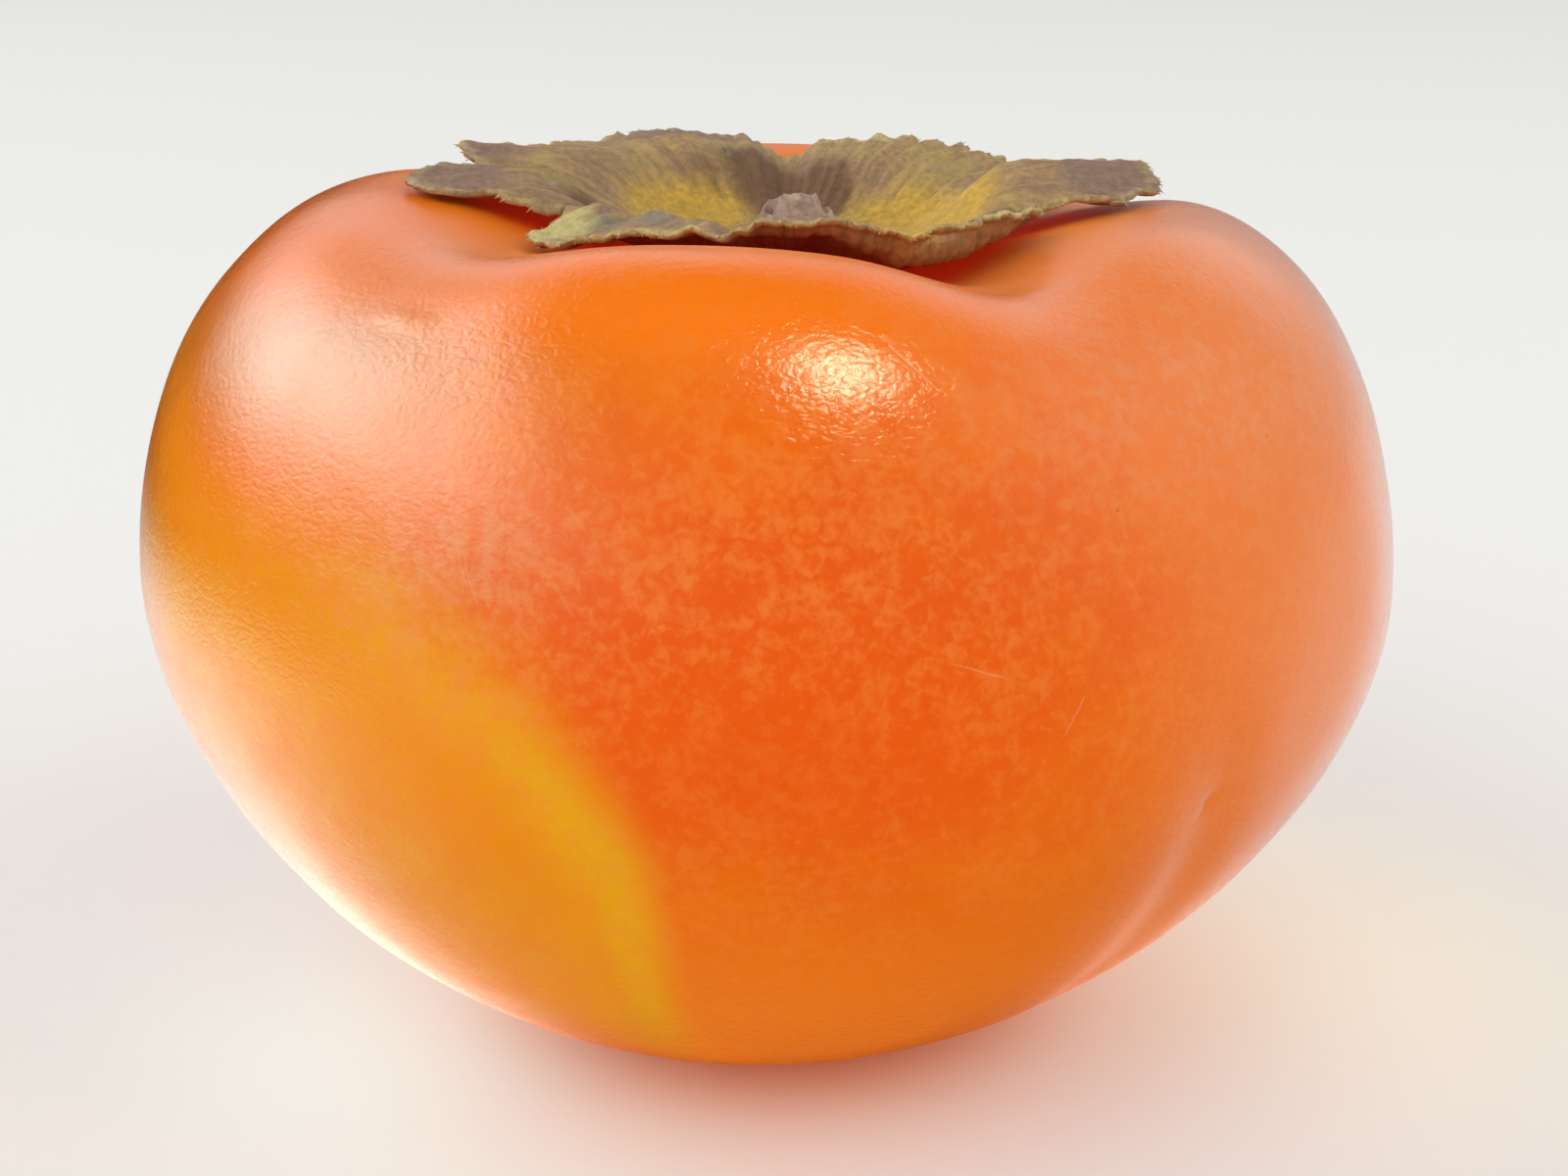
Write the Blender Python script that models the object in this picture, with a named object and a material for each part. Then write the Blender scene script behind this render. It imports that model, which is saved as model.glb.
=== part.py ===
"""A four-lobed persimmon standing on its blossom end, with its dry calyx and its stem stub.

Metres, +Z up. An azimuth is measured round Z from the front (-Y) towards +X.
The origin is the middle of the fruit's own outline, on the surface that it stands on.
"""

import math

import bmesh
import bpy
from mathutils import Vector

# The fruit, as it would measure without its lobes.
FRUIT_RADIUS = 0.0400
FRUIT_HEIGHT = 0.0560
EQUATOR_HEIGHT = 0.0326
SHOULDER_RADIUS = 0.0249
BELLY_ROUNDNESS = 0.477  # 0.552 would make each quarter of the outline an ellipse
SHOULDER_ROUNDNESS = 0.522
CAVITY_DEPTH = 0.0052
FLAT_RADIUS = 0.0066
DIMPLE_RADIUS = 0.0034
DIMPLE_DEPTH = 0.0013

# The fruit isn't quite round, and it leans a little: its left shoulder stands higher.
OVALITY = 0.032
NARROW_AZIMUTH = math.radians(18)
LEAN = 0.029

# Four valleys part the lobes: each one's azimuth at the foot and at the shoulder, how far the
# shoulder sinks in it and how deep its furrow is.
VALLEYS = (
    (-6, -46, 0.0018, 0.0006),
    (46, 35, 0.0026, 0.0011),
    (129, 120, 0.0018, 0.0009),
    (-118, -131, 0.0016, 0.0007),
)
VALLEY_WIDTH = math.radians(19)
VALLEY_PINCH = 0.020
FURROW_WIDTH = math.radians(4.6)
FURROW_FOOT = 0.004
FURROW_HEAD = 0.040

# The calyx's margin, all the way round its four sepals: the azimuth, how far out the margin is
# there, how far the calyx arches above the fruit just inside it, and how far the margin is lifted.
MARGIN = (
    (-68, 0.0182, 0.0016, 0.0009),
    (-60, 0.0144, 0.0012, 0.0008),
    (-50, 0.0192, 0.0017, 0.0004),
    (-39, 0.0210, 0.0018, 0.0002),
    (-22, 0.0204, 0.0014, 0.0002),
    (-8, 0.0182, 0.0009, 0.0003),
    (5, 0.0190, 0.0009, 0.0009),
    (18, 0.0190, 0.0011, 0.0016),
    (32, 0.0190, 0.0014, 0.0026),
    (46, 0.0196, 0.0014, 0.0024),
    (58, 0.0186, 0.0012, 0.0012),
    (66, 0.0150, 0.0012, 0.0009),
    (78, 0.0206, 0.0014, 0.0003),
    (89, 0.0236, 0.0022, 0.0006),
    (99, 0.0230, 0.0033, 0.0019),
    (112, 0.0214, 0.0029, 0.0025),
    (122, 0.0194, 0.0024, 0.0021),
    (131, 0.0200, 0.0022, 0.0019),
    (150, 0.0198, 0.0020, 0.0015),
    (168, 0.0188, 0.0015, 0.0013),
    (179, 0.0168, 0.0010, 0.0008),
    (190, 0.0188, 0.0018, 0.0014),
    (212, 0.0206, 0.0029, 0.0019),
    (230, 0.0214, 0.0030, 0.0020),
    (250, 0.0226, 0.0024, 0.0012),
    (264, 0.0196, 0.0014, 0.0008),
    (274, 0.0222, 0.0018, 0.0006),
    (282, 0.0232, 0.0018, 0.0002),
    (287, 0.0222, 0.0017, 0.0002),
)
DISC_RADIUS = 0.0080
ARCH_RADIUS = 0.0150
CALYX_DISC_THICKNESS = 0.0011
CALYX_EDGE_THICKNESS = 0.0006

STUB_RADIUS = 0.0028
STUB_TOP = 0.0550
STUB_STEP = 0.0009  # the stub stands a little to the right of the calyx's middle

STYLE_RADIUS = 0.0008
STYLE_HEIGHT = 0.0006

GAP = 0.0003  # left between pieces that touch
ROUND_STEPS = 96
DIMPLE_STEPS = 5
BELLY_STEPS = 12
SHOULDER_STEPS = 10
CAVITY_STEPS = 6
CALYX_RINGS = 13


def clear_scene():
    for item in list(bpy.data.objects):
        bpy.data.objects.remove(item, do_unlink=True)


def material(name, colour, roughness):
    made = bpy.data.materials.new(name)
    made.use_nodes = True
    shader = made.node_tree.nodes["Principled BSDF"]
    shader.inputs["Base Color"].default_value = (*colour, 1.0)
    shader.inputs["Roughness"].default_value = roughness
    shader.inputs["Metallic"].default_value = 0.0
    return made


def finished(name, mesh, finish):
    """The bmesh as a named, smooth-shaded object with its normals facing out."""
    bmesh.ops.recalc_face_normals(mesh, faces=mesh.faces)
    data = bpy.data.meshes.new(name)
    mesh.to_mesh(data)
    mesh.free()
    data.shade_smooth()
    data.set_sharp_from_angle(angle=math.radians(55))
    data.materials.append(finish)
    made = bpy.data.objects.new(name, data)
    bpy.context.scene.collection.objects.link(made)
    return made


def eased(low, high, value):
    """0 below low, 1 above high and smooth between them."""
    share = min(1.0, max(0.0, (value - low) / (high - low)))
    return share * share * (3 - 2 * share)


def bell(offset, width):
    return math.exp(-((offset / width) ** 2))


def turned(angle):
    """The angle, brought between minus and plus half a turn."""
    return (angle + math.pi) % (2 * math.pi) - math.pi


def plan_scale(azimuth):
    """How much wider than its mean radius the fruit is at this azimuth."""
    return 1 - OVALITY * math.cos(2 * (azimuth - NARROW_AZIMUTH))


def valleys_from(azimuth, height):
    """(offset, sink, depth) of each valley, whose line drifts as it climbs from the foot."""
    climb = (height / FRUIT_HEIGHT) ** 2
    for foot, head, sink, depth in VALLEYS:
        yield turned(azimuth - math.radians(foot + (head - foot) * climb)), sink, depth


def valley(azimuth, height):
    """(how far this azimuth is in a valley, from 0 to 1, and how far the shoulder sinks there)."""
    parts = [(bell(offset, VALLEY_WIDTH), sink) for offset, sink, _ in valleys_from(azimuth, height)]
    return sum(part for part, _ in parts), sum(part * sink for part, sink in parts)


def furrow(azimuth, height):
    """How deep the narrow crease is that runs along each valley, on the fruit's lower part."""
    run = eased(FURROW_FOOT, FURROW_FOOT + 0.008, height)
    run *= 1 - eased(FURROW_HEAD - 0.012, FURROW_HEAD, height)
    parts = (depth * bell(offset, FURROW_WIDTH) for offset, _, depth in valleys_from(azimuth, height))
    return run * sum(parts)


def leaned(point):
    """Leans the upper part of the fruit. The flat that it stands on stays level."""
    above = max(0.0, point.z - EQUATOR_HEIGHT)
    aside = LEAN * above**2 / (FRUIT_HEIGHT - EQUATOR_HEIGHT)
    lifted = point.z - LEAN * point.x * eased(0.0, EQUATOR_HEIGHT, point.z)
    return Vector((point.x + aside, point.y, lifted))


def placed(radius, azimuth, height):
    """A point on the fruit's skin, from where it would be on the round fruit."""
    above = max(0.0, (height - EQUATOR_HEIGHT) / (FRUIT_HEIGHT - EQUATOR_HEIGHT))
    fullness = math.sin(math.pi * min(1.0, height / FRUIT_HEIGHT))
    inside, sink = valley(azimuth, height)
    out = radius * plan_scale(azimuth) * (1 - VALLEY_PINCH * fullness * inside)
    if radius > FLAT_RADIUS:
        out -= furrow(azimuth, height)
    up = height - sink * above**2 * eased(0.004, 0.018, radius)
    return leaned(Vector((out * math.sin(azimuth), -out * math.cos(azimuth), up)))


def cavity_height(radius):
    """The round fruit's height inside the ring of its shoulders."""
    inward = max(0.0, 1 - radius / SHOULDER_RADIUS)
    return FRUIT_HEIGHT - CAVITY_DEPTH * (0.5 - 0.5 * math.cos(math.pi * inward))


def quarter(share, roundness):
    """(across, up), each 0 to 1, along a quarter turn that leaves level and ends upright."""
    rest = 1 - share
    across = 3 * rest**2 * share * roundness + 3 * rest * share**2 + share**3
    up = 3 * rest * share**2 * (1 - roundness) + share**3
    return across, up


def belly(share):
    across, up = quarter(share, BELLY_ROUNDNESS)
    return FLAT_RADIUS + (FRUIT_RADIUS - FLAT_RADIUS) * across, EQUATOR_HEIGHT * up


def shoulder(share):
    across, down = quarter(share, SHOULDER_ROUNDNESS)
    radius = SHOULDER_RADIUS + (FRUIT_RADIUS - SHOULDER_RADIUS) * across
    return radius, FRUIT_HEIGHT - (FRUIT_HEIGHT - EQUATOR_HEIGHT) * down


def shoulder_height(radius):
    """The round fruit's height at a radius, anywhere above its equator."""
    if radius <= SHOULDER_RADIUS:
        return cavity_height(radius)
    low, high = 0.0, 1.0
    for _ in range(30):
        middle = (low + high) / 2
        low, high = (middle, high) if shoulder(middle)[0] < radius else (low, middle)
    return shoulder(low)[1]


def fruit_profile():
    """The round fruit's outline as (radius, height), from the middle underneath to the top's."""
    for step in range(DIMPLE_STEPS):
        share = step / DIMPLE_STEPS
        yield DIMPLE_RADIUS * share, DIMPLE_DEPTH * (0.5 + 0.5 * math.cos(math.pi * share))
    yield DIMPLE_RADIUS, 0.0
    for step in range(BELLY_STEPS + 1):
        yield belly(step / BELLY_STEPS)
    for step in range(1, SHOULDER_STEPS + 1):
        yield shoulder(1 - step / SHOULDER_STEPS)
    for step in range(1, CAVITY_STEPS + 1):
        radius = SHOULDER_RADIUS * (1 - step / CAVITY_STEPS)
        yield radius, cavity_height(radius)


def spun(profile):
    """A closed solid of revolution from (radius, height) points whose two ends are on the axis."""
    mesh = bmesh.new()
    points = [mesh.verts.new((0.0, -radius, height)) for radius, height in profile]
    edges = [mesh.edges.new(pair) for pair in zip(points, points[1:])]
    bmesh.ops.spin(
        mesh, geom=points + edges, cent=(0, 0, 0), axis=(0, 0, 1),
        angle=2 * math.pi, steps=ROUND_STEPS, use_merge=True,
    )
    bmesh.ops.remove_doubles(mesh, verts=mesh.verts, dist=1e-6)
    return mesh


def polar(point):
    """(radius, azimuth) of a point about the Z axis."""
    return math.hypot(point.x, point.y), math.atan2(point.x, -point.y)


def make_fruit():
    mesh = spun(list(fruit_profile()))
    for point in mesh.verts:
        radius, azimuth = polar(point.co)
        point.co = placed(radius, azimuth, point.co.z)
    return finished("fruit", mesh, material("persimmon_skin", (0.80, 0.19, 0.012), 0.38))


def margin_at(azimuth):
    """(reach, arch, lift) of the calyx at this azimuth, between the nearest two rows of MARGIN."""
    degrees = math.degrees(azimuth) % 360
    for row, following in zip(MARGIN, MARGIN[1:] + MARGIN[:1]):
        span = (following[0] - row[0]) % 360
        share = ((degrees - row[0]) % 360) / span
        if share <= 1:
            curve = eased(0, 1, share)
            reach = row[1] + (following[1] - row[1]) * (share + curve) / 2
            return reach, *(near + (far - near) * curve for near, far in zip(row[2:], following[2:]))
    raise ValueError("MARGIN leaves a gap")


def calyx_lift(radius, reach, arch, lift):
    """How far the calyx stands off the fruit: down on the disc, arched, then down to its margin."""
    rise = eased(DISC_RADIUS, ARCH_RADIUS, radius)
    fall = eased(ARCH_RADIUS, max(reach, ARCH_RADIUS + 0.001), radius)
    return rise * (arch * (1 - fall) + lift * fall)


def clearance(radius):
    """The gap under the calyx, wider where the fruit curves most between the points of its mesh."""
    return GAP * (1 + 0.5 * eased(0.6 * SHOULDER_RADIUS, SHOULDER_RADIUS, radius))


def calyx_point(ring, azimuth, underside):
    reach, arch, lift = margin_at(azimuth)
    radius = ring * reach
    point = placed(radius, azimuth, shoulder_height(radius))
    point.z += clearance(radius) + calyx_lift(radius, reach, arch, lift)
    if not underside:
        outward = eased(DISC_RADIUS, 0.020, radius)
        point.z += CALYX_DISC_THICKNESS + (CALYX_EDGE_THICKNESS - CALYX_DISC_THICKNESS) * outward
    return point


def make_calyx():
    """A disc of rings, laid over the fruit's top, then extruded down to its underside."""
    mesh = spun([(ring / CALYX_RINGS, 1.0) for ring in range(CALYX_RINGS + 1)])
    upper = list(mesh.verts)
    lower = bmesh.ops.extrude_face_region(mesh, geom=list(mesh.faces), use_keep_orig=True)["geom"]
    for point in lower:
        if isinstance(point, bmesh.types.BMVert):
            ring, azimuth = polar(point.co)
            point.co = calyx_point(ring, azimuth, underside=True)
    for point in upper:
        ring, azimuth = polar(point.co)
        point.co = calyx_point(ring, azimuth, underside=False)
    return finished("calyx", mesh, material("dry_calyx", (0.27, 0.18, 0.09), 0.8))


def make_stem_stub():
    """The woody stub of the stalk in the middle of the calyx, broken off unevenly."""
    seat = calyx_point(0.0, 0.0, underside=False)
    foot = seat.z + GAP
    mesh = bmesh.new()
    bmesh.ops.create_cone(
        mesh, cap_ends=True, segments=20, radius1=STUB_RADIUS, radius2=0.82 * STUB_RADIUS, depth=1.0,
    )
    for point in mesh.verts:
        radius, azimuth = polar(point.co)
        out = 1 + 0.07 * math.cos(5 * azimuth)
        slope = 0.0005 * math.sin(azimuth - 0.6) + 0.0003 * math.cos(3 * azimuth)
        top = point.co.z > 0
        height = STUB_TOP + slope if top else foot
        across = point.co.x * out + seat.x + STUB_STEP
        point.co = Vector((across, point.co.y * out + seat.y, height))
    return finished("stem_stub", mesh, material("stub_wood", (0.36, 0.22, 0.15), 0.85))


def make_style_remnant():
    """The dried tip of the style, a small dark cone in the dimple of the blossom end."""
    roof = placed(0.0, 0.0, DIMPLE_DEPTH)
    mesh = bmesh.new()
    bmesh.ops.create_cone(
        mesh, cap_ends=True, segments=16, radius1=0.4 * STYLE_RADIUS, radius2=STYLE_RADIUS,
        depth=STYLE_HEIGHT,
    )
    middle = roof - Vector((0.0, 0.0, GAP + STYLE_HEIGHT / 2))
    bmesh.ops.translate(mesh, verts=mesh.verts, vec=middle)
    return finished("style_remnant", mesh, material("dark_style", (0.018, 0.012, 0.009), 0.7))


def centre_on_origin(fruit, others):
    """Moves every piece by the same step, so that the fruit's outline is centred on the Z axis."""
    xs = [point.co.x for point in fruit.data.vertices]
    ys = [point.co.y for point in fruit.data.vertices]
    step = Vector((-(min(xs) + max(xs)) / 2, -(min(ys) + max(ys)) / 2, 0.0))
    for piece in (fruit, *others):
        for point in piece.data.vertices:
            point.co += step


def main():
    clear_scene()
    fruit = make_fruit()
    centre_on_origin(fruit, (make_calyx(), make_stem_stub(), make_style_remnant()))


main()
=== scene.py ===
import math

import bmesh
import bpy
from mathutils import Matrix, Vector, noise
from mathutils.bvhtree import BVHTree


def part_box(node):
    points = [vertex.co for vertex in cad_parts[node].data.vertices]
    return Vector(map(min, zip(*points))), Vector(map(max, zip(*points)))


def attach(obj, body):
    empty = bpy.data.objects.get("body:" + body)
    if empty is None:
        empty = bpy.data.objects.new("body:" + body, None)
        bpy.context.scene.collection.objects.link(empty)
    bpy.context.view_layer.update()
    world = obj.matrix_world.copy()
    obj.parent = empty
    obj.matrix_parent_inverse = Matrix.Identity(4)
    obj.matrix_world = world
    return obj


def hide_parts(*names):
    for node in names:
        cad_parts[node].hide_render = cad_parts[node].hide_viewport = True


# Everything is in metres. An azimuth is in degrees round Z, from the front (-Y) towards +X.

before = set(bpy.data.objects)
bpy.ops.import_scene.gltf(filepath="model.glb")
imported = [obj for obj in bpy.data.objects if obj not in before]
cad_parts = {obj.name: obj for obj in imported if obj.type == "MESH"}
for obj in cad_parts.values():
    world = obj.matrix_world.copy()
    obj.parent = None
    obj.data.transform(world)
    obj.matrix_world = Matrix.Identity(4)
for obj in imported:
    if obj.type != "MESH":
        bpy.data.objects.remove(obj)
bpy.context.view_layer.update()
print("frame loaded:", ", ".join(sorted(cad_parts)))


# Node trees

class Wire:  # one output socket, on which Python's operators make Math nodes
    def __init__(self, board, node, name=None):
        self.board = board
        self.node = node
        usable = [socket for socket in node.outputs if socket.enabled]
        self.socket = next((socket for socket in usable if name in (None, socket.name)), None)

    def out(self, name):  # another output of the same node
        return Wire(self.board, self.node, name)

    def calc(self, operation, *values):
        return self.board.add("ShaderNodeMath", {"operation": operation}, *values)

    def __add__(self, other):
        return self.calc("ADD", self, other)

    def __radd__(self, other):
        return self.calc("ADD", other, self)

    def __sub__(self, other):
        return self.calc("SUBTRACT", self, other)

    def __rsub__(self, other):
        return self.calc("SUBTRACT", other, self)

    def __mul__(self, other):
        return self.calc("MULTIPLY", self, other)

    def __rmul__(self, other):
        return self.calc("MULTIPLY", other, self)

    def __truediv__(self, other):
        return self.calc("DIVIDE", self, other)

    def __rtruediv__(self, other):
        return self.calc("DIVIDE", other, self)

    def __neg__(self):
        return self.calc("MULTIPLY", self, -1.0)

    def sin(self):
        return self.calc("SINE", self)

    def cos(self):
        return self.calc("COSINE", self)

    def exp(self):
        return self.calc("EXPONENT", self)

    def least(self, other):
        return self.calc("MINIMUM", self, other)

    def most(self, other):
        return self.calc("MAXIMUM", self, other)

    def held(self, low=0.0, high=1.0):
        return self.board.add("ShaderNodeClamp", None, self, low, high)

    def eased(self, low, high):  # 0 below low, 1 above high and smooth between them
        return self.board.add(
            "ShaderNodeMapRange", {"interpolation_type": "SMOOTHSTEP"}, self, low, high, 0.0, 1.0
        )

    def bell(self, middle, width):
        off = (self - middle) / width
        return (off * off * -1.0).exp()

    def wrapped(self):  # brought between -180 and 180
        return self.calc("WRAP", self, 180.0, -180.0)


class Board:  # a node tree and the one method that adds any node to it
    def __init__(self, tree):
        self.tree = tree

    def add(self, kind, settings=None, *values, **named):
        node = self.tree.nodes.new(kind)
        for key, value in (settings or {}).items():
            setattr(node, key, value)
        free = [socket for socket in node.inputs if socket.enabled]
        for socket, value in zip(free, values):
            self.give(socket, value)
        for key, value in named.items():
            wanted = key.lower()
            socket = next(item for item in free if item.name.replace(" ", "").lower() == wanted)
            self.give(socket, value)
        return Wire(self, node)

    def give(self, socket, value):
        if isinstance(value, Wire):
            self.tree.links.new(value.socket, socket)
        elif value is not None:
            if socket.type == "RGBA" and len(value) == 3:
                value = (*value, 1.0)
            socket.default_value = value

    def place(self):
        return self.add("ShaderNodeTexCoord").out("Object")

    def axes(self, vector):
        return self.add("ShaderNodeSeparateXYZ", None, vector)

    def vector(self, operation, *values, **named):
        return self.add("ShaderNodeVectorMath", {"operation": operation}, *values, **named)

    def mix(self, share, first, second):
        return self.add("ShaderNodeMix", {"data_type": "RGBA"}, share, first, second)

    def tint(self, first, second, share=1.0):
        return self.add(
            "ShaderNodeMix", {"data_type": "RGBA", "blend_type": "MULTIPLY"}, share, first, second
        )

    def plus(self, share, first, second):
        return self.add(
            "ShaderNodeMix", {"data_type": "RGBA", "blend_type": "ADD"}, share, first, second
        )

    def noise(self, place, scale, detail=2.0, roughness=0.5, distortion=0.0):
        return self.add(
            "ShaderNodeTexNoise", None, vector=place, scale=scale, detail=detail,
            roughness=roughness, distortion=distortion,
        )

    def stretched(self, place, scale):
        return self.add("ShaderNodeMapping", None, vector=place, scale=scale)

    def bump(self, height, distance):
        return self.add("ShaderNodeBump", None, strength=1.0, distance=distance, height=height)


def newMaterial(name):
    made = bpy.data.materials.new(name)
    made.use_nodes = True
    made.node_tree.nodes.clear()
    return made, Board(made.node_tree)


def shade(board, **sockets):
    shader = board.add("ShaderNodeBsdfPrincipled", None, **sockets)
    board.add("ShaderNodeOutputMaterial", None, surface=shader)


def azimuthOf(axes):
    return axes.calc("ARCTAN2", axes.out("X"), -axes.out("Y")) * (180 / math.pi)


def placeWires(board):  # the place, its azimuth and its height in mm
    place = board.place()
    axes = board.axes(place)
    return place, azimuthOf(axes), axes.out("Z") * 1000


# Meshes

def addObject(name, data):
    made = bpy.data.objects.new(name, data)
    bpy.context.scene.collection.objects.link(made)
    return made


def meshFrom(name, mesh, finish, sharpAngle=60):
    bmesh.ops.recalc_face_normals(mesh, faces=mesh.faces)
    data = bpy.data.meshes.new(name)
    mesh.to_mesh(data)
    mesh.free()
    data.shade_smooth()
    data.set_sharp_from_angle(angle=math.radians(sharpAngle))
    data.materials.append(finish)
    return addObject(name, data)


def grownMesh(name, tree, base=None, **inputs):  # a plain mesh from a Geometry Nodes tree
    holder = addObject(name + "Seed", base or bpy.data.meshes.new(name + "Seed"))
    grower = holder.modifiers.new("grow", "NODES")
    grower.node_group = tree
    for item in tree.interface.items_tree:
        if item.item_type == "SOCKET" and item.in_out == "INPUT" and item.name in inputs:
            grower[item.identifier] = inputs[item.name]
    grown = holder.evaluated_get(bpy.context.evaluated_depsgraph_get())
    data = bpy.data.meshes.new_from_object(grown)
    data.name = name
    holder.modifiers.remove(grower)
    bpy.data.objects.remove(holder)
    return addObject(name, data)


def newGrowth(name, inputs):  # a Geometry Nodes tree whose named inputs are the sizes
    tree = bpy.data.node_groups.new(name, "GeometryNodeTree")
    face = tree.interface
    face.new_socket("Geometry", in_out="OUTPUT", socket_type="NodeSocketGeometry")
    face.new_socket("Geometry", in_out="INPUT", socket_type="NodeSocketGeometry")
    for key, value in inputs.items():
        kind = "NodeSocketFloat"
        if isinstance(value, int):
            kind = "NodeSocketInt"
        if isinstance(value, bpy.types.Material):
            kind = "NodeSocketMaterial"
        face.new_socket(key, in_out="INPUT", socket_type=kind).default_value = value
    board = Board(tree)
    entry = board.add("NodeGroupInput")
    return tree, board, {key: entry.out(key) for key in ("Geometry", *inputs)}


def joinRows(mesh, rows):  # a closed skin over rows of points, each row a ring
    for row, following in zip(rows, rows[1:]):
        for step in range(len(row)):
            after = (step + 1) % len(row)
            mesh.faces.new((row[step], row[after], following[after], following[step]))
    mesh.faces.new(rows[-1])
    mesh.faces.new(list(reversed(rows[0])))


def wayAt(turn, rise=0.0):  # a direction, from its azimuth and rise in radians
    flat = math.cos(rise)
    return Vector((math.sin(turn) * flat, -math.cos(turn) * flat, math.sin(rise)))


def smoothStep(low, high, value):
    share = min(1.0, max(0.0, (value - low) / (high - low)))
    return share * share * (3 - 2 * share)


def bell(off, width):
    return math.exp(-((off / width) ** 2))


def turned(angle):  # brought between -180 and 180
    return (angle + 180) % 360 - 180


# The fruit

fruitSizes = {
    "around": 360,
    "along": 236,
    "radius": 0.0400,
    "height": 0.0560,
    "equator": 0.0326,
    "shoulderRadius": 0.0249,
    "bellyRoundness": 0.477,  # 0.552 makes a quarter of the outline an ellipse
    "shoulderRoundness": 0.522,
    "cavityDepth": 0.0052,
    "flatRadius": 0.0066,
    "dimpleRadius": 0.0034,
    "dimpleDepth": 0.0013,
    "ovality": 0.032,
    "narrowAzimuth": 18.0,
    "lean": 0.029,
    "valleyWidth": 19.0,
    "valleyPinch": 0.020,
    "furrowWidth": 4.6,
    "furrowFoot": 0.004,
    "furrowHead": 0.034,
    "lumpSize": 0.014,
    "lumpHeight": 0.00030,
    "seed": 7,
}

# How much of the outline's points each stretch of it has.
fruitStretches = {"dimple": 0.035, "flat": 0.030, "belly": 0.435, "shoulder": 0.270, "cavity": 0.230}

# Each valley between two lobes: its azimuth at the foot and at the head, how far the shoulder
# sinks in it, and the depth of its furrow.
fruitValleys = (
    (-6, -46, 0.0018, 0.0004),
    (46, 35, 0.0026, 0.0005),
    (129, 120, 0.0018, 0.0007),
    (-118, -131, 0.0016, 0.0005),
)

# Small dents and welts: azimuth, height, half length round, half length up, how far it stands out.
fruitDents = (
    (-14, 0.0223, 0.00045, 0.0026, -0.00022),
    (43.5, 0.0243, 0.0004, 0.0007, -0.00025),
    (-40, 0.0523, 0.0022, 0.0004, 0.00012),
    (11, 0.0475, 0.0003, 0.0005, -0.00010),
)


def quarterAcross(share, roundness):  # how far a quarter turn of the outline has gone sideways
    rest = 1 - share
    return share * rest * rest * roundness * 3 + rest * share * share * 3 + share * share * share


def quarterUp(share, roundness):  # and how far upwards
    rest = 1 - share
    return rest * share * share * (1 - roundness) * 3 + share * share * share


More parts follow.
